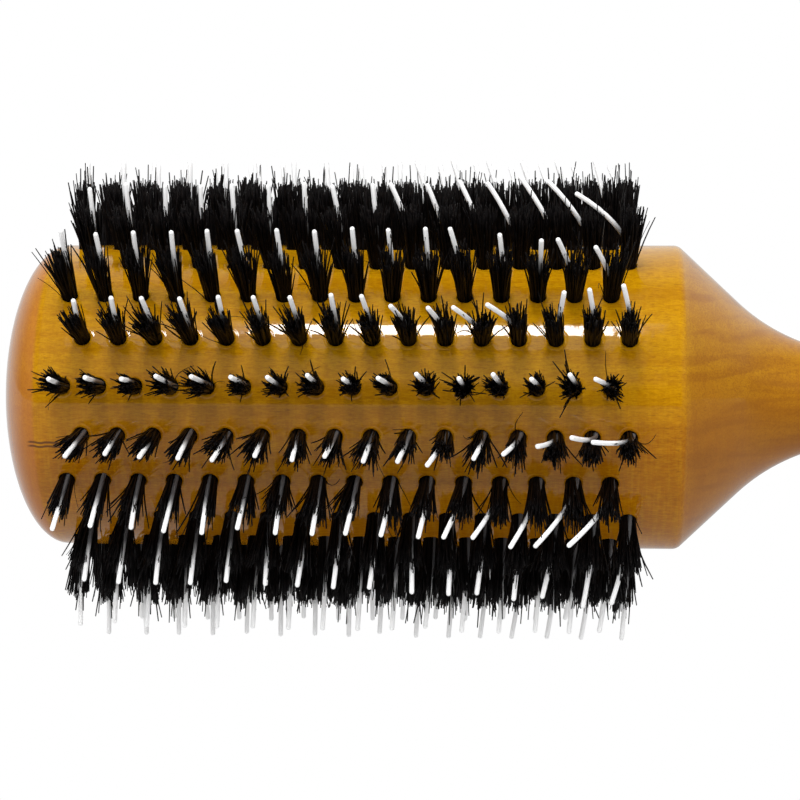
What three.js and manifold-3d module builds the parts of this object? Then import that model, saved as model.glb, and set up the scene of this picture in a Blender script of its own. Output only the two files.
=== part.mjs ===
// A round hair brush: a body turned from one piece of wood, a domed barrel that runs through a flared
// neck into the handle, with twenty rows of boar-bristle tufts set in blind holes round the barrel. Each
// tuft has one nylon pin standing out of it. Millimetres, +Z up. The brush lies on two rows of pins with
// its axis along X, the domed end towards -X and the handle towards +X.

import * as THREE from "three";
import { mergeGeometries, mergeVertices } from "three/addons/utils/BufferGeometryUtils.js";
import Module from "manifold-3d";

// Barrel and neck
const BARREL_RADIUS = 19.6;
const DOME_DEPTH = 7.4;
const BARREL_LENGTH = 79.3; // the straight cylinder between the dome and the flare
const BARREL_START = -37.9; // where the cylinder begins, from the middle of the tuft field
const ARRIS_RADIUS = 1.5; // the rounded edge where the cylinder meets the flare
const FLARE_ANGLE = THREE.MathUtils.degToRad(43.2);
const FLARE_ARC_RADIUS = 24.3; // the hollow curve from the flare's cone into the neck
const NECK_RADIUS = 5.75;

// Handle
const HANDLE_LENGTH = 120; // from the narrowest point of the neck to the butt
const HANDLE_RADIUS = 9.5;
const BUTT_ROUNDING = 4;
const BUTT_FLAT_RADIUS = 4;
const HANDLE_CREST = 0.48; // where the handle is thickest, as a share of its length
const SWELL_BENDS = [0.14, 0.22]; // control points between neck and crest, as shares of its length
const TAPER_BENDS = [0.7, 0.85]; // and between crest and butt
const OUTLINE_STEPS = 4; // segments in each free curve of the outline: an arc gets twice as many

// Tufts
const ROWS = 20;
const TUFTS_PER_ROW = 16;
const TUFT_PITCH = 4.5;
const ROW_STEP = (2 * Math.PI) / ROWS;
const SIDES = 2 * ROWS; // every row of holes is then in the middle of a flat side
const TUFT_FOOT_DEPTH = 6.1; // how deep a tuft reaches below the barrel's surface
const TUFT_FOOT_WIDTH = 1.1;
const TUFT_ROOT_WIDTH = 2.1; // at the barrel's surface
const TUFT_TOP_RADIUS = 27.6; // from the barrel's axis to the trimmed ends of the bristles
const TUFT_MEET_RADIUS = 26.7; // where splayed neighbours in a row touch
const TUFT_TOP_WIDTH = 3.5; // across the row
const ROW_END_GAP = 0.3; // how much narrower the outermost tufts are than half a pitch
const HOLE_WIDTH = 2.7;
const HOLE_CLEARANCE = 0.4; // between a hole's bottom and the foot of its tuft
const CUTTER_OVERSHOOT = 1; // how far the solid that cuts a hole stands out of the barrel

// Nylon pins
const PIN_TIP_RADIUS = 31.8;
const PIN_THICKNESS = 0.84;
const PIN_SIDES = 3;
const PIN_OVERLAP = 0.8; // how far a pin's solid runs into its tuft

const MERGE_DISTANCE = 1e-4; // corners closer than this are one

const wasm = await Module();
wasm.setup();

// A closed three.js geometry as a manifold-3d solid.
function solidFrom(geometry) {
  const bare = geometry.clone();
  bare.deleteAttribute("normal");
  bare.deleteAttribute("uv");
  const merged = mergeVertices(bare, MERGE_DISTANCE);
  return new wasm.Manifold(
    new wasm.Mesh({
      numProp: 3,
      vertProperties: merged.getAttribute("position").array,
      triVerts: new Uint32Array(merged.index.array),
    }),
  );
}

function geometryFrom(solid) {
  const { vertProperties, triVerts } = solid.getMesh();
  const geometry = new THREE.BufferGeometry();
  geometry.setAttribute("position", new THREE.BufferAttribute(vertProperties, 3));
  geometry.setIndex(new THREE.BufferAttribute(triVerts, 1));
  geometry.computeVertexNormals();
  return geometry;
}

// Positions of a row's tufts along the axis, from the middle of the row.
const tuftPlaces = Array.from(
  { length: TUFTS_PER_ROW },
  (_, i) => (i - (TUFTS_PER_ROW - 1) / 2) * TUFT_PITCH,
);

// The angle of each row round the axis: rows straddle the straight-down direction, so that the brush
// rests on two of them, and neighbouring rows are offset by half a pitch along the axis.
const rows = Array.from({ length: ROWS }, (_, i) => ({
  name: `bristle_row_${String(i + 1).padStart(2, "0")}`,
  angle: Math.PI - ROW_STEP * (i + 0.5),
  offset: (i % 2 ? 0.25 : -0.25) * TUFT_PITCH,
}));

// The turned outline, from the pole of the dome to the middle of the butt, as (radius, distance).
function bodyOutline() {
  const arrisX = BARREL_START + BARREL_LENGTH;
  const arcDrop = FLARE_ARC_RADIUS * (1 - Math.cos(FLARE_ANGLE));
  const arcRun = FLARE_ARC_RADIUS * Math.sin(FLARE_ANGLE);
  const coneRun = (BARREL_RADIUS - NECK_RADIUS - arcDrop) / Math.tan(FLARE_ANGLE);
  const neckX = arrisX + coneRun + arcRun;
  const buttX = neckX + HANDLE_LENGTH;
  const buttEdge = BUTT_FLAT_RADIUS + BUTT_ROUNDING;
  const arrisRun = ARRIS_RADIUS * Math.tan(FLARE_ANGLE / 2);
  const handleX = (share) => neckX + HANDLE_LENGTH * share;

  const outline = new THREE.Path();
  outline.absellipse(BARREL_START, 0, DOME_DEPTH, BARREL_RADIUS, Math.PI, Math.PI / 2, true);
  outline.lineTo(arrisX - arrisRun, BARREL_RADIUS);
  outline.absarc(
    arrisX - arrisRun,
    BARREL_RADIUS - ARRIS_RADIUS,
    ARRIS_RADIUS,
    Math.PI / 2,
    Math.PI / 2 - FLARE_ANGLE,
    true,
  );
  outline.lineTo(arrisX + coneRun, NECK_RADIUS + arcDrop);
  outline.absarc(
    neckX,
    NECK_RADIUS + FLARE_ARC_RADIUS,
    FLARE_ARC_RADIUS,
    -Math.PI / 2 - FLARE_ANGLE,
    -Math.PI / 2,
    false,
  );
  outline.bezierCurveTo(
    handleX(SWELL_BENDS[0]),
    NECK_RADIUS,
    handleX(SWELL_BENDS[1]),
    HANDLE_RADIUS,
    handleX(HANDLE_CREST),
    HANDLE_RADIUS,
  );
  outline.bezierCurveTo(
    handleX(TAPER_BENDS[0]),
    HANDLE_RADIUS,
    handleX(TAPER_BENDS[1]),
    buttEdge,
    buttX - BUTT_ROUNDING,
    buttEdge,
  );
  outline.absarc(buttX - BUTT_ROUNDING, BUTT_FLAT_RADIUS, BUTT_ROUNDING, Math.PI / 2, 0, true);
  outline.lineTo(buttX, 0);
  return outline.getPoints(OUTLINE_STEPS).map(({ x, y }) => new THREE.Vector2(Math.max(y, 0), x));
}

// The turned wood, its axis along X, with a blind hole under every tuft.
function woodenBody() {
  const turned = new THREE.LatheGeometry(bodyOutline(), SIDES, ROW_STEP / 4);
  turned.rotateZ(-Math.PI / 2);

  const holeFloor = BARREL_RADIUS - TUFT_FOOT_DEPTH - HOLE_CLEARANCE;
  const holeTop = BARREL_RADIUS + CUTTER_OVERSHOOT;
  const holes = rows.flatMap(({ angle, offset }) =>
    tuftPlaces.map((place) =>
      new THREE.BoxGeometry(HOLE_WIDTH, holeTop - holeFloor, HOLE_WIDTH)
        .translate(place + offset, (holeTop + holeFloor) / 2, 0)
        .rotateX(angle),
    ),
  );
  return geometryFrom(solidFrom(turned).subtract(solidFrom(mergeGeometries(holes))));
}

// Half of a tuft's size across its row, which grows evenly from its foot to its trimmed ends.
function halfWidthAt(radius) {
  const footRadius = BARREL_RADIUS - TUFT_FOOT_DEPTH;
  return THREE.MathUtils.mapLinear(
    radius,
    footRadius,
    TUFT_TOP_RADIUS,
    TUFT_FOOT_WIDTH / 2,
    TUFT_TOP_WIDTH / 2,
  );
}

// One row, with X along the barrel's axis and Y out from it: sixteen tufts that stand apart in their
// holes, splay until neighbours touch, and have a pin each.
function bristleRow() {
  const footRadius = BARREL_RADIUS - TUFT_FOOT_DEPTH;
  const halfPitch = TUFT_PITCH / 2;
  const outline = new THREE.Shape();
  const halfEnd = halfPitch - ROW_END_GAP;
  outline.moveTo(tuftPlaces[0] - halfEnd, TUFT_TOP_RADIUS);
  tuftPlaces.forEach((place, i) => {
    outline.lineTo(place - TUFT_ROOT_WIDTH / 2, BARREL_RADIUS);
    outline.lineTo(place - TUFT_FOOT_WIDTH / 2, footRadius);
    outline.lineTo(place + TUFT_FOOT_WIDTH / 2, footRadius);
    outline.lineTo(place + TUFT_ROOT_WIDTH / 2, BARREL_RADIUS);
    if (i < TUFTS_PER_ROW - 1) outline.lineTo(place + halfPitch, TUFT_MEET_RADIUS);
  });
  outline.lineTo(tuftPlaces.at(-1) + halfEnd, TUFT_TOP_RADIUS);

  const comb = new THREE.ExtrudeGeometry(outline, { bevelEnabled: false });
  const corners = comb.getAttribute("position");
  for (let i = 0; i < corners.count; i++) {
    const side = corners.getZ(i) > 0 ? 1 : -1;
    corners.setZ(i, side * halfWidthAt(corners.getY(i)));
  }

  const pinFoot = TUFT_TOP_RADIUS - PIN_OVERLAP;
  const pins = tuftPlaces.map((place) =>
    new THREE.CylinderGeometry(
      PIN_THICKNESS / 2,
      PIN_THICKNESS / 2,
      PIN_TIP_RADIUS - pinFoot,
      PIN_SIDES,
    ).translate(place, (PIN_TIP_RADIUS + pinFoot) / 2, 0),
  );
  return geometryFrom(solidFrom(comb).add(solidFrom(mergeGeometries(pins))));
}

const wood = new THREE.MeshStandardMaterial({ color: 0xc6781e, roughness: 0.25, metalness: 0 });
const bristle = new THREE.MeshStandardMaterial({ color: 0x141212, roughness: 0.6, metalness: 0 });

const brush = new THREE.Group();
const body = new THREE.Mesh(woodenBody(), wood);
body.name = "wooden_body";
brush.add(body);

const rowGeometry = bristleRow();
for (const { name, angle, offset } of rows) {
  const row = new THREE.Mesh(rowGeometry, bristle);
  row.name = name;
  row.position.x = offset;
  row.rotation.x = angle;
  brush.add(row);
}

// The origin is on the surface that the brush lies on, under the middle of its whole length.
const extent = new THREE.Box3().setFromObject(brush, true);
const middle = extent.getCenter(new THREE.Vector3());
brush.position.set(-middle.x, -middle.y, -extent.min.z);

const part = new THREE.Group();
part.add(brush);

export default part;
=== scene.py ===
"""A round barrel brush: lacquered wood, boar-bristle tufts and nylon pins, on a plain white floor.

Lengths are in millimetres and become metres where a mesh is made. A point of a row of tufts is
(u, t, w): u along the barrel towards the handle, t round the barrel, w out from the barrel's axis.
"""

import math

import bpy
import numpy as np
from mathutils import Matrix, Vector


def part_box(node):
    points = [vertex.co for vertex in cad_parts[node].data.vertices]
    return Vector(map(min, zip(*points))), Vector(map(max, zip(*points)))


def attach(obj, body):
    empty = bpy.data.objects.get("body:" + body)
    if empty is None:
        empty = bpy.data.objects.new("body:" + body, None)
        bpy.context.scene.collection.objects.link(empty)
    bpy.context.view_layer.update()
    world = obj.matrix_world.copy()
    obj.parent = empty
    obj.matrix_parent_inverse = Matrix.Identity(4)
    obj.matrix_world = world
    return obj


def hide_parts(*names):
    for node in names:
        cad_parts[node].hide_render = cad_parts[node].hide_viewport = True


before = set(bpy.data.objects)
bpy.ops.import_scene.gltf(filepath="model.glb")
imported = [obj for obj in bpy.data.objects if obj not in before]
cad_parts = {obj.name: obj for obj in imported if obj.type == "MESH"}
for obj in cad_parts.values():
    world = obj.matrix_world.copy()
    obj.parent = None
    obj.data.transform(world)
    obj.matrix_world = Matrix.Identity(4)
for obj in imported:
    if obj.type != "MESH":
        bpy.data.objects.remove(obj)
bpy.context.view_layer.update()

MM = 0.001
SEED = 7

# ---------------------------------------------------------------- dimensions

BARREL_RADIUS = 19.6
DOME_DEPTH = 7.4
BARREL_START = -37.9  # from the middle of the tuft field
BARREL_LENGTH = 79.3
ARRIS_RADIUS = 1.5
FLARE_ANGLE = math.radians(43.2)
FLARE_ARC_RADIUS = 24.3
NECK_RADIUS = 5.75
HANDLE_LENGTH = 120
HANDLE_RADIUS = 9.5
BUTT_ROUNDING = 4
BUTT_FLAT_RADIUS = 4
HANDLE_CREST = 0.48  # where the handle is thickest, as a share of its length
SWELL_BENDS = (0.14, 0.22)  # control points between neck and crest, as shares of its length
TAPER_BENDS = (0.7, 0.85)  # and between crest and butt

# Rings of points in each stretch of the body's outline
DOME_RINGS = 18
ARRIS_RINGS = 9
CONE_RINGS = 5
HOLLOW_RINGS = 21
GRIP_RINGS = 24
BUTT_RINGS = 8

ROWS = 20
TUFTS_PER_ROW = 16
TUFT_PITCH = 4.5
ROW_STEP = 2 * math.pi / ROWS
TUFT_PLACES = (np.arange(TUFTS_PER_ROW) - (TUFTS_PER_ROW - 1) / 2) * TUFT_PITCH

CELL_LINES = 4  # grid lines along the barrel in one tuft's cell
CELL_COLUMNS = 6  # grid columns round the barrel in one tuft's cell
HOLE_RADIUS = 0.98
HOLE_DEPTH = 5.9
# Rings from a cell's edge down into its hole: radius, height above the barrel, tilt of the surface
# towards the hole in degrees. The lacquer swells a little round each hole.
HOLE_RINGS = (
    (1.9, 0.0, 0),
    (1.6, 0.0, 0),
    (1.42, 0.02, -10),
    (1.28, 0.035, 0),
    (1.1, 0.01, 14),
    (1.03, -0.02, 50),
    (HOLE_RADIUS, -0.12, 90),
    (HOLE_RADIUS, -HOLE_DEPTH, 90),
)
LACQUERED_BANDS = 7  # how many of the bands between these rings the lacquer covers

FOOT_DEPTH = 5.3  # how deep bristles and pins reach below the barrel's surface
FOOT_SPREAD = 0.24  # from the middle of the anchor wire to the nearest feet of bristles
BRISTLES_PER_TUFT = (108, 124)  # before those that stand in the pin's way are left out
BRISTLE_RADIUS = 0.115
BRISTLE_THICKNESS = (0.8, 1.15)  # the least and most of a bristle, as a share of that radius
BRISTLE_TAPER = (0.9, 1.0, 1.0, 0.95, 0.85, 0.65)  # from the foot to the tip
BRISTLE_SIDES = 3
TUFT_ROOT_RADIUS = 0.93
TUFT_SPLAY = 0.07  # slope of a tuft's outermost bristles
TRIM_HEIGHT = 7.8  # from the barrel's surface to the trimmed ends
TRIM_RISE = 0.7  # how much longer the bristles at the very top are
SHORTEST_BRISTLE = 4.6
SHORT_FROM, LONG_FROM = 0.66, 0.96  # shares of a tuft: bristles of any length, and untrimmed ones
LONGEST_EXCESS = 2.4  # of an untrimmed bristle over the trimmed ends
WILD_SHARE = 0.07  # of the bristles that lean and curl outwards
STRAYS_PER_TUFT = (0, 2)
STRAY_LENGTH = (3.0, 6.5)
STRAY_RADIUS = (0.05, 0.09)

PIN_RADIUS = 0.3
PIN_SIDES = 10
PIN_ROOT = (0.35, 0.3)  # from its tuft's middle, along the barrel and round it
PIN_SWAY = 0.2  # how much further round it is, down in the upper rows and up in the lower ones
PIN_CLEARANCE = 0.36  # no bristle has its root this close to a pin's
PIN_HEIGHT = 10.3
RESTING_PIN_HEIGHT = 11.6  # in the rows that the brush lies on
RESTING_RISE = -0.8  # rows whose direction points further down than this are such rows
PIN_CAP_TURNS = (25, 50, 70, 86)  # degrees round a pin's rounded end
FIRST_BENT_PIN = 10  # from the dome: use has bent the pins nearer the handle

# The flat wire across the bottom of a hole, seen along the barrel: its corners and its thickness
ANCHOR_OUTLINE = (
    (-1.15, 0.12),
    (-0.8, 0.0),
    (0.8, 0.0),
    (1.15, 0.12),
    (1.02, 0.5),
    (1.15, 0.8),
    (-1.15, 0.8),
    (-1.02, 0.5),
)
ANCHOR_THICKNESS = 0.24
ANCHOR_GAP = 0.05  # between the wire and the hole's bottom

# Where the tips of the last seven pins are, in the rows at the front, from the middle of the tuft,
# along the barrel and round it: they have been bent in use.
BENT_PINS = {
    1: ((-0.5, 0.5), (-0.5, 1), (0, 0.5), (-0.5, 1), (-0.5, 0.5), (-0.5, 1), (-2, 0.5)),
    2: ((-1.5, 0), (-1.5, -0.5), (-3, -0.5), (-3.5, 0), (1, 1.5), (-0.5, 2), (-1, 2.5)),
    3: ((0, 1.5), (0, 1.5), (-1.5, 1.5), (0, 0.5), (0.5, -0.5), (-2, -0.5), (-2, -1.5)),
    4: ((-2.5, 1.5), (-2.5, 2), (-3, 2.5), (-4, 2), (-4.5, 3.5), (-5.5, 2), (-6.5, -0.5)),
    18: ((0.5, -1.5), (0.5, -2), (-0.5, -1.5), (-0.5, -2.5), (-1.5, -3), (-1, -4), (-2, -4)),
    19: ((-0.5, -0.5), (-0.5, -0.5), (-2, -1), (-3, -1), (-3, -2.5), (-4.5, -2), (-5, -2)),
    20: ((-0.5, 0), (-1.5, -0.5), (-0.5, 0.5), (-1.5, 1), (-2, 2), (-2.5, 3), (-4.5, 2.5)),
}

# ---------------------------------------------------------------- places, from the frame

body_low, body_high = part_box("wooden_body")
row_boxes = [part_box(f"bristle_row_{number:02d}") for number in (1, 2)]
FIELD_X = sum((low.x + high.x) / 2 for low, high in row_boxes) / 2 / MM
AXIS_Y = (body_low.y + body_high.y) / 2 / MM
AXIS_Z = (body_low.z + body_high.z) / 2 / MM


def row_angle(number):
    """The angle of a row round the axis: zero is straight to the front, and it grows upwards."""
    return ROW_STEP * (number - 0.5)


def row_offset(number):
    """How far a row's tufts are from the middle of the field: neighbours differ by half a pitch."""
    return TUFT_PITCH / 4 * (-1 if number % 2 else 1)


def in_frame(points, angle, offset=0.0):
    """Points (u, t, w) of a row as points of the frame, still in millimetres."""
    u, t, w = np.moveaxis(np.asarray(points, float), -1, 0)
    y = t * math.sin(angle) - w * math.cos(angle)
    z = t * math.cos(angle) + w * math.sin(angle)
    return np.stack([FIELD_X + offset + u, AXIS_Y + y, AXIS_Z + z], -1)


# ---------------------------------------------------------------- meshes

def make_piece(name, points, faces, flat=(), materials=(), second=(), normals=None):
    """A mesh object from points in millimetres and arrays of equal-sided faces. Arrays listed in
    flat aren't shaded smooth, and arrays listed in second take the second material."""
    mesh = bpy.data.meshes.new(name)
    mesh.vertices.add(len(points))
    mesh.vertices.foreach_set("co", (np.asarray(points) * MM).astype(np.float32).ravel())
    sizes = np.concatenate([np.full(len(f), f.shape[1]) for f in faces])
    loops = np.concatenate([f.ravel() for f in faces])
    mesh.loops.add(len(loops))
    mesh.loops.foreach_set("vertex_index", loops.astype(np.int32))
    mesh.polygons.add(len(sizes))
    starts = np.concatenate([[0], np.cumsum(sizes)[:-1]])
    mesh.polygons.foreach_set("loop_start", starts.astype(np.int32))
    smooth = np.concatenate([np.full(len(f), i not in flat) for i, f in enumerate(faces)])
    mesh.polygons.foreach_set("use_smooth", smooth)
    chosen = np.concatenate([np.full(len(f), int(i in second)) for i, f in enumerate(faces)])
    for material in materials:
        mesh.materials.append(material)
    mesh.polygons.foreach_set("material_index", chosen.astype(np.int32))
    mesh.update(calc_edges=True)
    if normals is not None:
        mesh.normals_split_custom_set_from_vertices(normals)
    piece = bpy.data.objects.new(name, mesh)
    bpy.context.scene.collection.objects.link(piece)
    return piece


def tubes(paths, radii, sides, turn):
    """Closed tubes along paths of (tube, ring, 3) points: their points, side faces and caps."""
    count, rings = paths.shape[:2]
    along = np.gradient(paths, axis=1)
    along /= np.linalg.norm(along, axis=-1, keepdims=True)
    across = np.cross(along, (0.0, 1.0, 0.0))
    across /= np.linalg.norm(across, axis=-1, keepdims=True)
    other = np.cross(along, across)
    spokes = turn[:, None] + np.arange(sides) * 2 * math.pi / sides
    ring = (
        np.cos(spokes)[:, None, :, None] * across[:, :, None]
        + np.sin(spokes)[:, None, :, None] * other[:, :, None]
    )
    points = paths[:, :, None] + ring * radii[:, :, None, None]

    ids = np.arange(count * rings * sides).reshape(count, rings, sides)
    after = np.roll(ids, -1, axis=2)
    walls = np.stack([ids[:, :-1], after[:, :-1], after[:, 1:], ids[:, 1:]], -1).reshape(-1, 4)
    caps = np.concatenate([ids[:, -1], ids[:, 0, ::-1]])
    return points.reshape(-1, 3), walls, caps


# ---------------------------------------------------------------- the wooden body

def bezier(start, first, second, end, steps):
    """A cubic curve's points after its start."""
    s = np.linspace(0, 1, steps + 1)[1:, None]
    start, first, second, end = map(np.array, (start, first, second, end))
    return (
        (1 - s) ** 3 * start
        + 3 * s * (1 - s) ** 2 * first
        + 3 * s**2 * (1 - s) * second
        + s**3 * end
    )


def dome_outline():
    """The domed end without its pole: distance from the middle of the field, radius, and normal."""
    turn = np.linspace(0, math.pi / 2, DOME_RINGS + 1)[1:]
    across = np.stack([-BARREL_RADIUS * np.cos(turn), DOME_DEPTH * np.sin(turn)], -1)
    across /= np.linalg.norm(across, axis=1, keepdims=True)
    x = BARREL_START - DOME_DEPTH * np.cos(turn)
    return np.column_stack([x, BARREL_RADIUS * np.sin(turn), across])


def arc(middle_x, middle_radius, size, turns):
    """An arc of the outline. Turns are its normals' angles, from straight out to the handle."""
    across = np.stack([np.sin(turns), np.cos(turns)], -1)
    return np.column_stack([(middle_x, middle_radius) + size * across, across])


def handle_outline():
    """From the end of the barrel's cylinder through the neck to the edge of the butt's flat."""
    arris_x = BARREL_START + BARREL_LENGTH
    arc_drop = FLARE_ARC_RADIUS * (1 - math.cos(FLARE_ANGLE))
    arc_run = FLARE_ARC_RADIUS * math.sin(FLARE_ANGLE)
    cone_run = (BARREL_RADIUS - NECK_RADIUS - arc_drop) / math.tan(FLARE_ANGLE)
    neck_x = arris_x + cone_run + arc_run
    butt_x = neck_x + HANDLE_LENGTH
    butt_edge = BUTT_FLAT_RADIUS + BUTT_ROUNDING
    shoulder_x = arris_x - ARRIS_RADIUS * math.tan(FLARE_ANGLE / 2)

    arris_turns = np.linspace(0, FLARE_ANGLE, ARRIS_RINGS)
    arris = arc(shoulder_x, BARREL_RADIUS - ARRIS_RADIUS, ARRIS_RADIUS, arris_turns)
    hollow_middle = NECK_RADIUS + FLARE_ARC_RADIUS
    hollow_turns = np.linspace(FLARE_ANGLE, 0, HOLLOW_RINGS)
    hollow = arc(neck_x, hollow_middle, -FLARE_ARC_RADIUS, hollow_turns)
    cone = np.linspace(arris[-1], hollow[0], CONE_RINGS + 2)[1:-1]
    crest = (neck_x + HANDLE_LENGTH * HANDLE_CREST, HANDLE_RADIUS)
    grip = bezier(
        (neck_x, NECK_RADIUS),
        (neck_x + HANDLE_LENGTH * SWELL_BENDS[0], NECK_RADIUS),
        (neck_x + HANDLE_LENGTH * SWELL_BENDS[1], HANDLE_RADIUS),
        crest,
        GRIP_RINGS,
    )
    tail = bezier(
        crest,
        (neck_x + HANDLE_LENGTH * TAPER_BENDS[0], HANDLE_RADIUS),
        (neck_x + HANDLE_LENGTH * TAPER_BENDS[1], butt_edge),
        (butt_x - BUTT_ROUNDING, butt_edge),
        GRIP_RINGS,
    )
    handle = np.concatenate([grip, tail])
    along = np.gradient(handle, axis=0)
    along /= np.linalg.norm(along, axis=1, keepdims=True)
    handle = np.column_stack([handle, -along[:, 1], along[:, 0]])
    butt_turns = np.linspace(0, math.pi / 2, BUTT_RINGS + 1)[1:]
    butt = arc(butt_x - BUTT_ROUNDING, BUTT_FLAT_RADIUS, BUTT_ROUNDING, butt_turns)
    return np.concatenate([arris, cone, hollow, handle, butt])


class BodyMesh:
    """Collects the wooden body's points, normals and faces, in the frame's directions."""

    def __init__(self):
        self.points, self.normals, self.count = [], [], 0
        self.lacquered, self.raw, self.fans, self.floors = [], [], [], []

    def add(self, points, normals):
        """Adds points of the frame in millimetres with their normals, and returns their numbers."""
        self.points.append(points)
        self.normals.append(normals)
        ids = np.arange(self.count, self.count + len(points))
        self.count += len(points)
        return ids

    def ring(self, x, radius, normal, angles):
        """Adds one ring of the turned shape, at x from the middle of the tuft field."""
        ones = np.ones_like(angles)
        sine, cosine = np.sin(angles), np.cos(angles)
        points = [FIELD_X + x * ones, AXIS_Y - radius * cosine, AXIS_Z + radius * sine]
        normals = [normal[0] * ones, -normal[1] * cosine, normal[1] * sine]
        return self.add(np.stack(points, -1), np.stack(normals, -1))

    def band(self, first, second):
        """Joins two whole rings."""
        quads = np.stack([first, second, np.roll(second, -1), np.roll(first, -1)], -1)
        self.lacquered.append(quads)

    def cap(self, ring, x, facing):
        """Closes the turned shape on the axis."""
        pole = self.add(
            np.array([[FIELD_X + x, AXIS_Y, AXIS_Z]]),
            np.array([[facing, 0.0, 0.0]]),
        )[0]
        around = np.roll(ring, -1)
        poles = np.full(len(ring), pole)
        order = [poles, ring, around] if facing < 0 else [ring, poles, around]
        self.fans.append(np.stack(order, -1))


def hole_cell(body, edge, angle, place):
    """The barrel's surface round one hole, from the cell's edge to the bottom of the hole."""
    turns = math.pi / len(edge) * (2 * np.arange(len(edge)))
    start = math.atan2(-math.pi, -TUFT_PITCH / 2)
    cosine, sine = np.cos(start + turns), np.sin(start + turns)
    rings = [edge]
    for radius, height, tilt in HOLE_RINGS:
        lean = math.radians(tilt)
        u, t = radius * cosine, radius * sine
        if tilt == 90:
            w = np.full_like(t, BARREL_RADIUS + height)
        else:
            w = np.sqrt(BARREL_RADIUS**2 - t**2) + height
        surface = np.stack([np.zeros_like(u), t / BARREL_RADIUS, w / BARREL_RADIUS], -1)
        inward = np.stack([-cosine, -sine, np.zeros_like(u)], -1)
        normals = math.cos(lean) * surface + math.sin(lean) * inward
        points = in_frame(np.stack([u + place, t, w], -1), angle)
        middle = in_frame(np.zeros(3), angle)
        rings.append(body.add(points, in_frame(normals, angle) - middle))
    for number, (outer, inner) in enumerate(zip(rings, rings[1:])):
        quads = np.stack([outer, np.roll(outer, -1), np.roll(inner, -1), inner], -1)
        (body.lacquered if number < LACQUERED_BANDS else body.raw).append(quads)
    body.floors.append(rings[-1][None])


def wooden_body(materials):
    """The turned body, with a real round hole under every tuft."""
    body = BodyMesh()
    columns = ROWS * CELL_COLUMNS
    angles = np.arange(columns) * 2 * math.pi / columns
    half_lines = (TUFTS_PER_ROW + 0.5) * CELL_LINES / 2
    lines = np.arange(-half_lines, half_lines + 1) * TUFT_PITCH / CELL_LINES

    dome = dome_outline()
    rings = [body.ring(x, radius, normal, angles) for x, radius, *normal in dome]
    body.cap(rings[0], BARREL_START - DOME_DEPTH, -1.0)
    grid = np.array([body.ring(x, BARREL_RADIUS, (0.0, 1.0), angles) for x in lines])
    rings.append(grid[0])
    for first, second in zip(rings, rings[1:]):
        body.band(first, second)
    handle = handle_outline()
    rings = [grid[-1]] + [body.ring(x, radius, normal, angles) for x, radius, *normal in handle]
    for first, second in zip(rings, rings[1:]):
        body.band(first, second)
    body.cap(rings[-1], handle[-1][0], 1.0)

    for number in range(1, ROWS + 1):
        low = (number - 1) * CELL_COLUMNS
        high = (low + CELL_COLUMNS) % columns
        sides = np.arange(low, low + CELL_COLUMNS)
        first_line = 0 if number % 2 else CELL_LINES // 2
        for cell, place in enumerate(TUFT_PLACES + row_offset(number)):
            near = first_line + cell * CELL_LINES
            far = near + CELL_LINES
            edge = np.concatenate(
                [
                    grid[near:far, low],
                    grid[far, sides],
                    grid[far:near:-1, high],
                    grid[near, np.append(sides[1:], high)[::-1]],
                ]
            )
            hole_cell(body, edge, row_angle(number), place)
        spare = (len(lines) - 1 - CELL_LINES // 2) if number % 2 else 0
        for line in range(spare, spare + CELL_LINES // 2):
            following = np.append(sides[1:], high)
            quads = [
                grid[line, sides],
                grid[line + 1, sides],
                grid[line + 1, following],
                grid[line, following],
            ]
            body.lacquered.append(np.stack(quads, -1))

    groups = [body.lacquered, body.fans, body.raw, body.floors]
    faces = [np.concatenate(group) for group in groups]
    used = np.unique(np.concatenate([f.ravel() for f in faces]))
    number_of = np.zeros(body.count, int)
    number_of[used] = np.arange(len(used))
    return make_piece(
        "turned_wood_body",
        np.concatenate(body.points)[used],
        [number_of[f] for f in faces],
        materials=materials,
        second=(2, 3),
        normals=np.concatenate(body.normals)[used],
    )


# ---------------------------------------------------------------- bristles, pins and anchors

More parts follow.
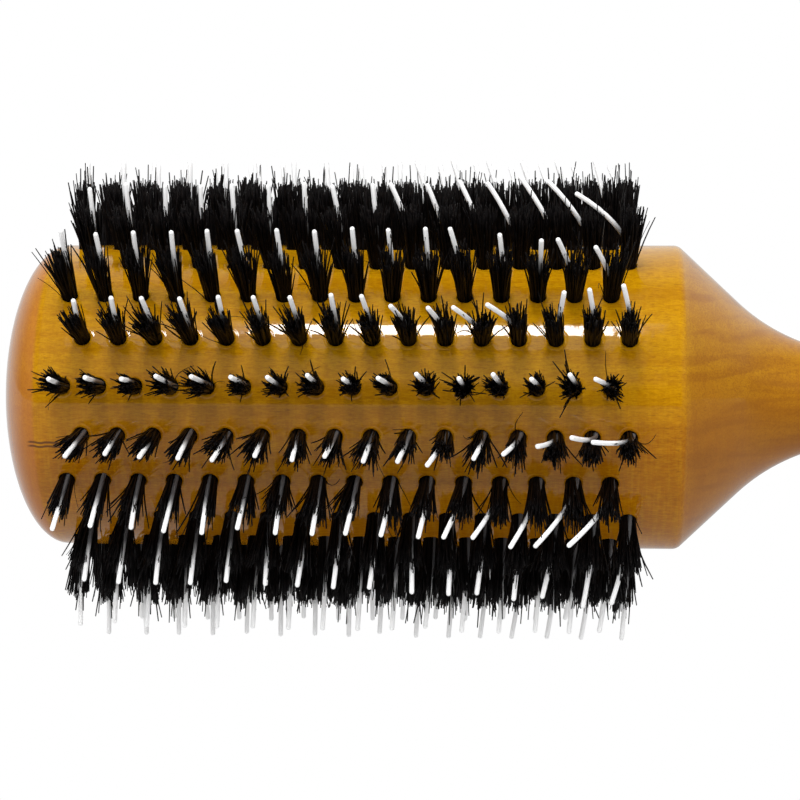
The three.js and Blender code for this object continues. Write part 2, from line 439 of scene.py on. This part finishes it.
def scatter_bristles(random, count, pin_root, trim):
    """The paths (bristle, ring, 3) of one tuft's bristles, from its middle, and their radii."""
    spread = np.sqrt(random.random(count))
    turn = random.random(count) * 2 * math.pi
    outward = np.stack([np.cos(turn), np.sin(turn)], -1)
    root = outward * (spread * TUFT_ROOT_RADIUS)[:, None]
    clear = np.linalg.norm(root - pin_root, axis=1) > PIN_CLEARANCE
    outward, root, spread = outward[clear], root[clear], spread[clear]
    count = len(root)
    slope = outward * (spread * TUFT_SPLAY)[:, None] + random.normal(0, 0.025, (count, 2))
    wild = random.random(count) < WILD_SHARE
    slope += outward * (wild * random.uniform(0.03, 0.17, count))[:, None]
    curl = random.normal(0, 0.28, (count, 2))
    curl += outward * (wild * random.uniform(0, 0.7, count))[:, None]

    kind = random.random(count)
    height = trim - 0.55 + random.normal(0, 0.45, count)
    height = np.where(kind > SHORT_FROM, random.uniform(SHORTEST_BRISTLE, trim, count), height)
    excess = random.uniform(0.2, LONGEST_EXCESS, count)
    height = np.where(kind > LONG_FROM, trim + excess, height)

    share = np.array([0.0, 0.25, 0.5, 0.75, 1.0])
    reach = height[:, None] * share
    side = (
        root[:, None]
        + slope[:, None] * reach[..., None]
        + curl[:, None] * (reach[..., None] / TRIM_HEIGHT) ** 2
    )
    above = np.concatenate([side, BARREL_RADIUS + reach[..., None]], -1)
    foot = np.stack(
        [
            root[:, 0] * 0.8,
            np.sign(root[:, 1]) * (FOOT_SPREAD + 0.3 * np.abs(root[:, 1])),
            np.full(count, BARREL_RADIUS - FOOT_DEPTH),
        ],
        -1,
    )
    paths = np.concatenate([foot[:, None], above], 1)
    thickness = BRISTLE_RADIUS * random.uniform(*BRISTLE_THICKNESS, count)
    return paths, thickness[:, None] * np.array(BRISTLE_TAPER)


def scatter_strays(random, count):
    """Thin hairs that have worked loose: they leave the tuft's edge and curl away over the wood."""
    turn = random.random(count) * 2 * math.pi
    outward = np.stack([np.cos(turn), np.sin(turn)], -1)
    curl_turn = turn + random.normal(0, 0.8, count)
    curl = np.stack([np.cos(curl_turn), np.sin(curl_turn)], -1)
    length = random.uniform(*STRAY_LENGTH, count)
    lean = random.uniform(0.1, 0.4, count)
    bend = random.uniform(0.1, 1.0, count)
    share = np.linspace(0, 1, 9)
    angle = lean[:, None] + bend[:, None] * share
    step = length[:, None] / (len(share) - 1)
    out = np.cumsum(np.sin(angle) * step, 1)
    up = np.cumsum(np.cos(angle) * step, 1)
    mixed = outward[:, None] * (1 - share)[:, None] + curl[:, None] * share[:, None]
    side = outward[:, None] * 0.9 + mixed * out[..., None]
    above = np.concatenate([side, BARREL_RADIUS - 0.4 + up[..., None]], -1)
    foot = np.concatenate([outward * 0.6, np.full((count, 1), BARREL_RADIUS - FOOT_DEPTH)], -1)
    paths = np.concatenate([foot[:, None], above], 1)
    taper = np.concatenate([[1.0], np.linspace(1, 0.5, len(share))])
    return paths, random.uniform(*STRAY_RADIUS, count)[:, None] * taper


def joined_tubes(batches, sides, random):
    """Batches of tubes as one set of points, side faces and caps."""
    points, walls, caps, start = [], [], [], 0
    for paths, radii in batches:
        turn = random.random(len(paths)) * 2 * math.pi
        made, wall, cap = tubes(paths, radii, sides, turn)
        points.append(made)
        walls.append(wall + start)
        caps.append(cap + start)
        start += len(made)
    return np.concatenate(points), np.concatenate(walls), np.concatenate(caps)


def pin_roots(number):
    """Where each pin of a row stands, from the middle of its tuft."""
    random = np.random.default_rng([SEED + 2, number])
    sway = -PIN_SWAY * np.clip(4 * math.sin(row_angle(number)), -1, 1)
    return np.add(PIN_ROOT, (0, sway)) + random.normal(0, 0.12, (TUFTS_PER_ROW, 2))


def bristle_row(number, material):
    """The sixteen tufts of one row."""
    random = np.random.default_rng([SEED, number])
    batches = []
    upper = max(math.sin(row_angle(number)), 0)
    for place, pin_root in zip(TUFT_PLACES, pin_roots(number)):
        count = random.integers(*BRISTLES_PER_TUFT)
        trim = TRIM_HEIGHT + TRIM_RISE * upper**2 + random.uniform(-0.2, 0.3)
        paths, radii = scatter_bristles(random, count, pin_root, trim)
        stray_paths, stray_radii = scatter_strays(random, random.integers(*STRAYS_PER_TUFT))
        tilt = random.normal((0, 0), 0.03)
        fan = random.uniform(0.85, 1.15)
        for tuft in (paths, stray_paths):
            reach = np.clip(tuft[..., 2:] - BARREL_RADIUS, 0, None)
            tuft[..., :2] *= 1 + (fan - 1) * reach / TRIM_HEIGHT
            tuft[..., :2] += tilt * reach
            tuft[..., 0] += place
        batches += [(paths, radii), (stray_paths, stray_radii)]
    points, walls, caps = joined_tubes(batches, BRISTLE_SIDES, random)
    placed = in_frame(points, row_angle(number), row_offset(number))
    name = f"boar_row_{number:02d}"
    return make_piece(name, placed, [walls, caps], flat=(1,), materials=[material])


def pin_tips(number, random):
    """Where the tip of each pin of a row is, from the middle of its tuft."""
    index = np.arange(TUFTS_PER_ROW)
    rise = math.sin(row_angle(number))
    bend = (index >= FIRST_BENT_PIN) * (rise > RESTING_RISE)
    along = 0.6 - 0.09 * index - 1.4 * bend + random.normal(0, 0.25, len(index))
    around = 0.4 + (0.6 + 0.08 * index) * rise + random.normal(0, 0.2, len(index))
    tips = np.stack([along, around], -1)
    bent = BENT_PINS.get(number, ())
    tips[len(index) - len(bent):] = np.reshape(bent, (-1, 2))
    return tips


def pin_row(number, material):
    """The sixteen nylon pins of one row, each standing at the edge of its tuft."""
    random = np.random.default_rng([SEED + 1, number])
    angle = row_angle(number)
    rise = math.sin(angle)
    reach = RESTING_PIN_HEIGHT if rise < RESTING_RISE else PIN_HEIGHT + 0.4 * rise
    height = np.minimum(reach + random.normal(0, 0.2, TUFTS_PER_ROW), RESTING_PIN_HEIGHT)
    root = pin_roots(number)
    tips = pin_tips(number, random)
    root[:, 0] += TUFT_PLACES
    tips[:, 0] += TUFT_PLACES

    share = np.linspace(0, 1, 11)
    lean = tips - root
    sharpness = 1.4 + 0.15 * np.clip(np.linalg.norm(lean, axis=1) - 2.5, 0, None)
    side = root[:, None] + lean[:, None] * (share ** sharpness[:, None])[..., None]
    shaft = np.concatenate([side, BARREL_RADIUS + (height[:, None] * share)[..., None]], -1)
    foot = np.concatenate([root, np.full((TUFTS_PER_ROW, 1), BARREL_RADIUS - FOOT_DEPTH)], -1)
    end = shaft[:, -1] - shaft[:, -2]
    end /= np.linalg.norm(end, axis=1, keepdims=True)
    cap_turn = np.radians(PIN_CAP_TURNS)
    tip = shaft[:, -1, None] + end[:, None] * (PIN_RADIUS * np.sin(cap_turn))[:, None]
    paths = np.concatenate([foot[:, None], shaft, tip], 1)
    radii = PIN_RADIUS * np.concatenate([np.ones(len(share) + 1), np.cos(cap_turn)])
    radii = np.tile(radii, (TUFTS_PER_ROW, 1))
    points, walls, caps = joined_tubes([(paths, radii)], PIN_SIDES, random)
    placed = in_frame(points, angle, row_offset(number))
    return make_piece(f"pins_row_{number:02d}", placed, [walls, caps], materials=[material])


def anchors(material):
    """The flat wires that hold the folded tufts at the bottom of their holes."""
    bottom = BARREL_RADIUS - HOLE_DEPTH + ANCHOR_GAP
    outline = np.array(ANCHOR_OUTLINE)
    corners = len(outline)
    points, sides, ends = [], [], []
    ring = np.arange(corners)
    for number in range(1, ROWS + 1):
        for place in TUFT_PLACES:
            start = 2 * corners * len(points)
            made = [
                np.stack([outline[:, 0] + place, np.full(corners, t), outline[:, 1] + bottom], -1)
                for t in (-ANCHOR_THICKNESS / 2, ANCHOR_THICKNESS / 2)
            ]
            points.append(in_frame(np.concatenate(made), row_angle(number), row_offset(number)))
            after = np.roll(ring, -1)
            quads = np.stack([ring, after, after + corners, ring + corners], -1)
            sides.append(start + quads[:, ::-1])
            ends.append(start + np.stack([ring, (ring + corners)[::-1]]))
    faces = [np.concatenate(sides), np.concatenate(ends)]
    placed = np.concatenate(points)
    return make_piece("anchor_wires", placed, faces, flat=(0, 1), materials=[material])


# ---------------------------------------------------------------- materials

SHAKES = (-4.1, -4.6)  # two short splits in the wood at the dome: their height over the axis

# Colours of the wood, from its palest to the brown of pores and splits
AMBER = (0.45, 0.225, 0.001)
# painted shade: the darker, redder amber of the barrel's underside
SHADED_UNDERSIDE_AMBER = (0.36, 0.120, 0.001)
RIPPLE_SHINE = (0.50, 0.25, 0.004)
GLEAM_SHINE = (0.56, 0.27, 0.005)
DOME_AMBER = (0.37, 0.12, 0.026)
GRAIN_BROWN = (0.25, 0.084, 0.001)
RING_BROWN = (0.23, 0.07, 0.001)
WEAVE_BROWN = (0.26, 0.09, 0.001)
# the flare's end-grain brown, also used as painted shade low on the flare
FLARE_BROWN_AND_SHADE = (0.26, 0.088, 0.002)
STREAK_BROWN = (0.2, 0.06, 0.002)
FLECK_BROWN = (0.17, 0.055, 0.001)
PORE_BROWN = (0.14, 0.045, 0.002)
SHAKE_BROWN = (0.09, 0.03, 0.006)


def smooth_step(tree, value, low, high, to_low, to_high):
    """Value between low and high as a smooth step between to_low and to_high."""
    made = tree.nodes.new("ShaderNodeMapRange")
    made.interpolation_type = "SMOOTHSTEP"
    tree.links.new(value, made.inputs["Value"])
    limits = {"From Min": low, "From Max": high, "To Min": to_low, "To Max": to_high}
    for name, number in limits.items():
        made.inputs[name].default_value = number
    return made.outputs["Result"]


class Nodes:
    """A material's node tree, with short calls for the nodes that the materials here use."""

    def __init__(self, name):
        self.material = bpy.data.materials.new(name)
        self.material.use_nodes = True
        self.tree = self.material.node_tree
        self.shader = self.tree.nodes["Principled BSDF"]

    def node(self, kind, **inputs):
        made = self.tree.nodes.new(kind)
        for name, value in inputs.items():
            self.set(made, name.replace("_", " "), value)
        return made

    def set(self, node, name, value):
        socket = node.inputs[name]
        if isinstance(value, bpy.types.NodeSocket):
            self.tree.links.new(value, socket)
        else:
            socket.default_value = value

    def position(self, stretch=(1, 1, 1)):
        """The place on the object in millimetres, stretched."""
        place = self.node("ShaderNodeTexCoord").outputs["Object"]
        scaled = self.tree.nodes.new("ShaderNodeVectorMath")
        scaled.operation = "MULTIPLY"
        self.tree.links.new(place, scaled.inputs[0])
        scaled.inputs[1].default_value = [value / MM for value in stretch]
        return scaled.outputs[0]

    def depth(self):
        """The distance from the barrel's axis in millimetres."""
        place = self.tree.nodes.new("ShaderNodeVectorMath")
        place.operation = "SUBTRACT"
        self.tree.links.new(self.position(), place.inputs[0])
        place.inputs[1].default_value = (0, AXIS_Y, AXIS_Z)
        flat = self.tree.nodes.new("ShaderNodeVectorMath")
        flat.operation = "MULTIPLY"
        self.tree.links.new(place.outputs[0], flat.inputs[0])
        flat.inputs[1].default_value = (0, 1, 1)
        length = self.tree.nodes.new("ShaderNodeVectorMath")
        length.operation = "LENGTH"
        self.tree.links.new(flat.outputs[0], length.inputs[0])
        return length.outputs["Value"]

    def noise(self, stretch, detail=3, roughness=0.55, distortion=0.0):
        made = self.node(
            "ShaderNodeTexNoise",
            Vector=self.position(stretch),
            Scale=1.0,
            Detail=detail,
            Roughness=roughness,
            Distortion=distortion,
        )
        return made.outputs["Fac"]

    def math(self, operation, first, second=0.0, clamp=False):
        made = self.tree.nodes.new("ShaderNodeMath")
        made.operation, made.use_clamp = operation, clamp
        for socket, value in zip(made.inputs, (first, second)):
            if isinstance(value, bpy.types.NodeSocket):
                self.tree.links.new(value, socket)
            else:
                socket.default_value = value
        return made.outputs[0]

    def ramp(self, value, low, high, to_low=0.0, to_high=1.0):
        return smooth_step(self.tree, value, low, high, to_low, to_high)

    def mix(self, amount, first, second, blend="MIX"):
        made = self.tree.nodes.new("ShaderNodeMix")
        made.data_type, made.blend_type = "RGBA", blend
        for index, value in ((0, amount), (6, first), (7, second)):
            socket = made.inputs[index]
            if isinstance(value, bpy.types.NodeSocket):
                self.tree.links.new(value, socket)
            else:
                socket.default_value = value if index == 0 else (*value, 1.0)
        return made.outputs[2]

    def shake(self, place, level):
        """How much a place is in the dark split along the grain at that height over the axis."""
        wander = self.ramp(self.noise((0.5, 0.01, 0.01), detail=1), 0.3, 0.7, -0.15, 0.15)
        height = self.math("ADD", place.outputs["Z"], wander)
        off = self.math("ABSOLUTE", self.math("SUBTRACT", height, AXIS_Z + level))
        line = self.ramp(off, 0.07, 0.2, 0.9, 0.0)
        start = self.ramp(place.outputs["X"], FIELD_X - 39.8, FIELD_X - 39.0)
        end = self.ramp(place.outputs["X"], FIELD_X - 35.2, FIELD_X - 34.2, 1.0, 0.0)
        front = self.ramp(place.outputs["Y"], AXIS_Y - 2, AXIS_Y - 1, 1.0, 0.0)
        reach = self.math("MULTIPLY", start, end)
        return self.math("MULTIPLY", self.math("MULTIPLY", line, front), reach)

    def bump(self, height, distance, strength=1.0):
        made = self.node("ShaderNodeBump", Strength=strength, Distance=distance * MM, Height=height)
        return made.outputs["Normal"]

    def finish(self, **inputs):
        for name, value in inputs.items():
            self.set(self.shader, name.replace("_", " "), value)
        return self.material


def lacquered_wood():
    """Straight-grained amber wood under gloss lacquer. It is painted darker and redder on the
    underside as shade, and the flare is browner, more so low down where that is painted shade.
    """
    n = Nodes("lacquered_wood")
    place = n.tree.nodes.new("ShaderNodeSeparateXYZ")
    n.tree.links.new(n.position(), place.inputs[0])
    along, height = place.outputs["X"], place.outputs["Z"]

    figure = n.noise((0.02, 0.11, 0.11), detail=2, distortion=0.6)
    grain = n.noise((0.05, 1.1, 1.1), detail=5, roughness=0.6)
    ripple = n.noise((2.6, 0.2, 0.2), detail=2)
    weave = n.noise((1.1, 5.2, 5.2), detail=3, roughness=0.75)
    gleam = n.noise((0.9, 4.2, 4.2), detail=3, roughness=0.7)
    rings = n.noise((0.015, 0.12, 0.6), detail=3, distortion=0.5)
    pores = n.noise((0.9, 5.5, 5.5), detail=1)
    fleck = n.noise((4.5, 4.5, 4.5), detail=2, roughness=0.7)

    patches = n.ramp(figure, 0.3, 0.7, -0.2, 0.2)
    # Painted shade: lower on the barrel the wood is mixed towards a darker, redder amber; random
    # patches of figure shift it.
    tone = n.math("ADD", n.ramp(height, AXIS_Z - 9, AXIS_Z + 11), patches, True)
    colour = n.mix(tone, SHADED_UNDERSIDE_AMBER, AMBER)
    colour = n.mix(n.ramp(grain, 0.35, 0.7, 0.0, 0.3), colour, GRAIN_BROWN)
    colour = n.mix(n.ramp(ripple, 0.4, 0.65, 0.0, 0.25), colour, RIPPLE_SHINE)
    colour = n.mix(n.ramp(rings, 0.48, 0.62, 0.0, 0.28), colour, RING_BROWN)
    flare = n.ramp(along, FIELD_X + 41, FIELD_X + 43)
    dome_end = FIELD_X + BARREL_START
    dome = n.ramp(along, dome_end - 1.0, dome_end - 0.4, 1.0, 0.0)
    end_grain = n.math("ADD", n.math("MULTIPLY", n.math("ADD", flare, dome), 0.75), 0.25)
    flecks = n.math("MULTIPLY", n.ramp(fleck, 0.46, 0.62, 0.0, 0.5), end_grain)
    colour = n.mix(flecks, colour, FLECK_BROWN)
    colour = n.mix(n.ramp(weave, 0.44, 0.6, 0.0, 0.45), colour, WEAVE_BROWN)
    colour = n.mix(n.ramp(gleam, 0.46, 0.6, 0.0, 0.22), colour, GLEAM_SHINE)
    colour = n.mix(n.ramp(pores, 0.64, 0.72, 0.0, 0.35), colour, PORE_BROWN)
    # The flare's end grain is browner everywhere, and below the axis it is browner still as painted
    # shade.
    flare_brown_and_shade = n.math("MULTIPLY", flare, n.ramp(height, AXIS_Z - 1, AXIS_Z + 5, 0.6, 0.35))
    colour = n.mix(flare_brown_and_shade, colour, FLARE_BROWN_AND_SHADE)
    streaks = n.math("MULTIPLY", flare, n.ramp(rings, 0.38, 0.7, 0.0, 0.35))
    colour = n.mix(streaks, colour, STREAK_BROWN)
    colour = n.mix(n.math("MULTIPLY", dome, 0.6), colour, DOME_AMBER)
    for level in SHAKES:
        colour = n.mix(n.shake(place, level), colour, SHAKE_BROWN)

    orange_peel = n.noise((0.5, 0.5, 0.5), detail=2)
    normal = n.bump(orange_peel, 0.02, 0.6)
    return n.finish(
        Base_Color=colour,
        Roughness=n.ramp(weave, 0.3, 0.8, 0.5, 0.7),
        Normal=normal,
        Coat_Normal=normal,
        Specular_IOR_Level=0.0,
        Coat_Weight=1.0,
        Coat_Roughness=0.045,
        Coat_IOR=1.5,
    )


def raw_wood():
    """The unlacquered inside of the holes."""
    n = Nodes("raw_wood")
    grain = n.noise((0.4, 3.0, 3.0), detail=4)
    colour = n.mix(grain, (0.1, 0.04, 0.012), (0.24, 0.11, 0.04))
    return n.finish(Base_Color=colour, Roughness=0.8, Normal=n.bump(grain, 0.1))


def boar_bristle():
    """Black-brown hair, a little lighter here and there."""
    n = Nodes("boar_bristle")
    tone = n.noise((1.6, 1.6, 1.6), detail=2)
    colour = n.mix(n.ramp(tone, 0.45, 0.75), (0.0025, 0.002, 0.0022), (0.010, 0.007, 0.006))
    return n.finish(Base_Color=colour, Roughness=0.45, Specular_IOR_Level=0.12)


def white_nylon():
    """Slightly cloudy white nylon, with painted shade that greys it towards the root, where the
    bristles shade it.
    """
    n = Nodes("white_nylon")
    cloud = n.noise((0.6, 0.6, 0.6), detail=2)
    colour = n.mix(cloud, (0.96, 0.96, 0.96), (1.0, 1.0, 1.0))
    # Painted shade: deep in the tuft the pin is mixed towards near-black, fading to none higher up.
    pin_shade_depth = n.math("ADD", n.depth(), n.math("MULTIPLY", cloud, 1.5))
    painted_root_shade = n.ramp(pin_shade_depth, BARREL_RADIUS + 4.5, BARREL_RADIUS + 8.4, 0.95, 0.0)
    colour = n.mix(painted_root_shade, colour, (0.06, 0.06, 0.066))
    return n.finish(
        Base_Color=colour,
        Roughness=0.4,
        Specular_IOR_Level=0.3,
        Transmission_Weight=0.15,
    )


def drawn_wire():
    """Flat steel wire with fine drawing lines."""
    n = Nodes("drawn_wire")
    lines = n.noise((0.5, 12, 12), detail=3)
    colour = n.mix(lines, (0.42, 0.41, 0.4), (0.6, 0.59, 0.57))
    roughness = n.ramp(lines, 0.3, 0.7, 0.25, 0.45)
    return n.finish(Base_Color=colour, Metallic=1.0, Roughness=roughness)


# ---------------------------------------------------------------- the object

def build_object():
    body = wooden_body([lacquered_wood(), raw_wood()])
    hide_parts("wooden_body")
    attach(body, "root")

    wires = anchors(drawn_wire())
    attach(wires, "root")

    hair, nylon = boar_bristle(), white_nylon()
    for number in range(1, ROWS + 1):
        for piece, slot in (
            (bristle_row(number, hair), "boar_bristle"),
            (pin_row(number, nylon), "nylon_pin"),
        ):
            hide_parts(f"bristle_row_{number:02d}")
            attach(piece, "root")


# ---------------------------------------------------------------- floor, light and camera

FLOOR_SIZE = 6.0  # in metres
FLOOR_DROP = 0.00005  # in metres, so that what lies on the floor doesn't share its plane
WALL_LIGHT = 0.03
CEILING_LIGHT = 0.34
SIDE_LIGHT = 0.18  # beyond the handle
BACKDROP_LIGHT = 0.75
FLOOR_LIGHT = 0.95
FRONT_REFLECTION = 0.42  # what the wood reflects of the floor before it
SIDE_REFLECTION = 0.22  # and of the floor before the handle
CAMERA_DISTANCE = 300  # from the barrel's axis
CAMERA_ELEVATION = math.radians(6.04)
CAMERA_ALONG = 27.46  # from the middle of the tuft field, towards the handle
CAMERA_YAW = math.radians(4.207)
CAMERA_PITCH = math.radians(6.127)
CAMERA_ROLL = math.radians(-0.143)
CAMERA_LENS = 103.68
CAMERA_SENSOR = 36


def ray_split(tree, kind, chosen, other):
    """One shader for rays of that kind and another for the rest."""
    path = tree.nodes.new("ShaderNodeLightPath")
    both = tree.nodes.new("ShaderNodeMixShader")
    tree.links.new(path.outputs[kind], both.inputs[0])
    tree.links.new(other, both.inputs[1])
    tree.links.new(chosen, both.inputs[2])
    return both.outputs[0]


def make_world():
    """White to the camera. What lights the object is a pale backdrop behind it, and a room with
    dark walls, a paler ceiling over the barrel and a dim side beyond the handle."""
    world = bpy.data.worlds.new("studio")
    bpy.context.scene.world = world
    world.use_nodes = True
    tree = world.node_tree
    seen = tree.nodes.new("ShaderNodeBackground")
    seen.inputs["Color"].default_value = (1, 1, 1, 1)
    seen.inputs["Strength"].default_value = 1.0
    unseen = tree.nodes["Background"]
    unseen.inputs["Color"].default_value = (1, 1, 1, 1)
    direction = tree.nodes.new("ShaderNodeTexCoord")
    parts = tree.nodes.new("ShaderNodeSeparateXYZ")
    tree.links.new(direction.outputs["Generated"], parts.inputs[0])

    def level(axis, low, high, to_low, to_high):
        return smooth_step(tree, parts.outputs[axis], low, high, to_low, to_high)

    def join(operation, first, second):
        made = tree.nodes.new("ShaderNodeMath")
        made.operation = operation
        tree.links.new(first, made.inputs[0])
        tree.links.new(second, made.inputs[1])
        return made.outputs[0]

    ceiling = level("Z", 0.16, 0.34, 0.0, CEILING_LIGHT)
    ceiling = join("MULTIPLY", ceiling, level("X", 0.015, 0.045, 1.0, 0.3))
    ceiling = join("MULTIPLY", ceiling, level("X", -0.3, -0.18, 0.3, 1.0))
    backdrop = level("Y", 0.0, 0.8, WALL_LIGHT, BACKDROP_LIGHT)
    walls = join("ADD", backdrop, level("X", 0.3, 0.8, 0.0, SIDE_LIGHT))
    tree.links.new(join("ADD", ceiling, walls), unseen.inputs["Strength"])
    both = ray_split(tree, "Is Camera Ray", seen.outputs[0], unseen.outputs[0])
    tree.links.new(both, tree.nodes["World Output"].inputs["Surface"])


def make_floor():
    """A plain white floor that glows by itself. To the camera it is white, a reflection shows it
    dimmer in front of the object than behind, and its light is otherwise a little under white."""
    half = FLOOR_SIZE / 2
    mesh = bpy.data.meshes.new("floor")
    corners = [(-half, -half, 0), (half, -half, 0), (half, half, 0), (-half, half, 0)]
    mesh.from_pydata([(x, y, z - FLOOR_DROP) for x, y, z in corners], [], [(0, 1, 2, 3)])
    floor = bpy.data.objects.new("floor", mesh)
    bpy.context.scene.collection.objects.link(floor)
    n = Nodes("floor")
    n.tree.nodes.remove(n.shader)
    seen = n.node("ShaderNodeEmission", Color=(1, 1, 1, 1), Strength=1.0)
    bounced = n.node("ShaderNodeEmission", Color=(1, 1, 1, 1), Strength=FLOOR_LIGHT)
    place = n.tree.nodes.new("ShaderNodeSeparateXYZ")
    n.tree.links.new(n.position(), place.inputs[0])
    along, away = place.outputs["X"], place.outputs["Y"]
    front = n.ramp(along, FIELD_X + 25, FIELD_X + 45, FRONT_REFLECTION, SIDE_REFLECTION)
    back = n.ramp(away, -60, 60, 0.0, BACKDROP_LIGHT - FRONT_REFLECTION)
    level = n.math("ADD", front, back)
    reflected = n.node("ShaderNodeEmission", Color=(1, 1, 1, 1), Strength=level)
    both = ray_split(n.tree, "Is Glossy Ray", reflected.outputs[0], bounced.outputs[0])
    both = ray_split(n.tree, "Is Camera Ray", seen.outputs[0], both)
    n.tree.links.new(both, n.tree.nodes["Material Output"].inputs["Surface"])
    mesh.materials.append(n.material)


def soft_light(name, place, size, radiance, glossy=False):
    """A rectangular light of that brightness, facing the barrel. Place and size are in metres. Only
    a glossy light shows as a reflection."""
    light = bpy.data.lights.new(name, "AREA")
    light.shape = "RECTANGLE"
    light.size, light.size_y = size
    light.energy = radiance * math.pi * size[0] * size[1]
    lamp = bpy.data.objects.new(name, light)
    bpy.context.scene.collection.objects.link(lamp)
    target = Vector((FIELD_X, AXIS_Y, AXIS_Z)) * MM
    lamp.location = target + Vector(place)
    lamp.rotation_mode = "QUATERNION"
    lamp.rotation_quaternion = (-Vector(place)).to_track_quat("-Z", "Y")
    lamp.visible_camera = False
    lamp.visible_glossy = glossy


def around(elevation, distance, azimuth=0.0):
    """A place in metres at an elevation over the front, turned to the handle by the azimuth."""
    rise, turn = math.radians(elevation), math.radians(azimuth)
    flat = distance * math.cos(rise)
    return flat * math.sin(turn), -flat * math.cos(turn), distance * math.sin(rise)


def make_lights():
    soft_light("key", around(55.9, 0.9, -4.4), (0.185, 0.125), 28, glossy=True)
    soft_light("halo", around(51.6, 1.0, -7.7), (0.3, 0.38), 0.7, glossy=True)
    soft_light("fill", around(65, 1.0, -2), (0.3, 0.2), 19)
    soft_light("left", around(32, 1.0, -42), (0.8, 0.8), 2.6)
    soft_light("right", around(34, 1.0, 40), (0.8, 0.8), 2.6)
    soft_light("front", around(16, 1.0), (0.7, 0.5), 0.4)
    soft_light("top", around(85, 1.0), (1.2, 0.7), 1.0)


def make_camera():
    camera = bpy.data.cameras.new("camera")
    camera.lens, camera.sensor_width = CAMERA_LENS, CAMERA_SENSOR
    camera.clip_start, camera.clip_end = 0.01, 20
    holder = bpy.data.objects.new("camera", camera)
    bpy.context.scene.collection.objects.link(holder)
    forward = Vector(
        (
            -math.sin(CAMERA_YAW) * math.cos(CAMERA_PITCH),
            math.cos(CAMERA_YAW) * math.cos(CAMERA_PITCH),
            -math.sin(CAMERA_PITCH),
        )
    )
    level = forward.cross(Vector((0, 0, 1))).normalized()
    upright = level.cross(forward)
    right = level * math.cos(CAMERA_ROLL) + upright * math.sin(CAMERA_ROLL)
    up = upright * math.cos(CAMERA_ROLL) - level * math.sin(CAMERA_ROLL)
    place = Vector(
        (
            FIELD_X + CAMERA_ALONG,
            AXIS_Y - CAMERA_DISTANCE * math.cos(CAMERA_ELEVATION),
            AXIS_Z + CAMERA_DISTANCE * math.sin(CAMERA_ELEVATION),
        )
    )
    turned = Matrix((right, up, -forward)).transposed().to_4x4()
    holder.matrix_world = Matrix.Translation(place * MM) @ turned
    bpy.context.scene.camera = holder


build_object()
make_world()
make_floor()
make_lights()
make_camera()
bpy.context.scene.view_settings.view_transform = "Standard"
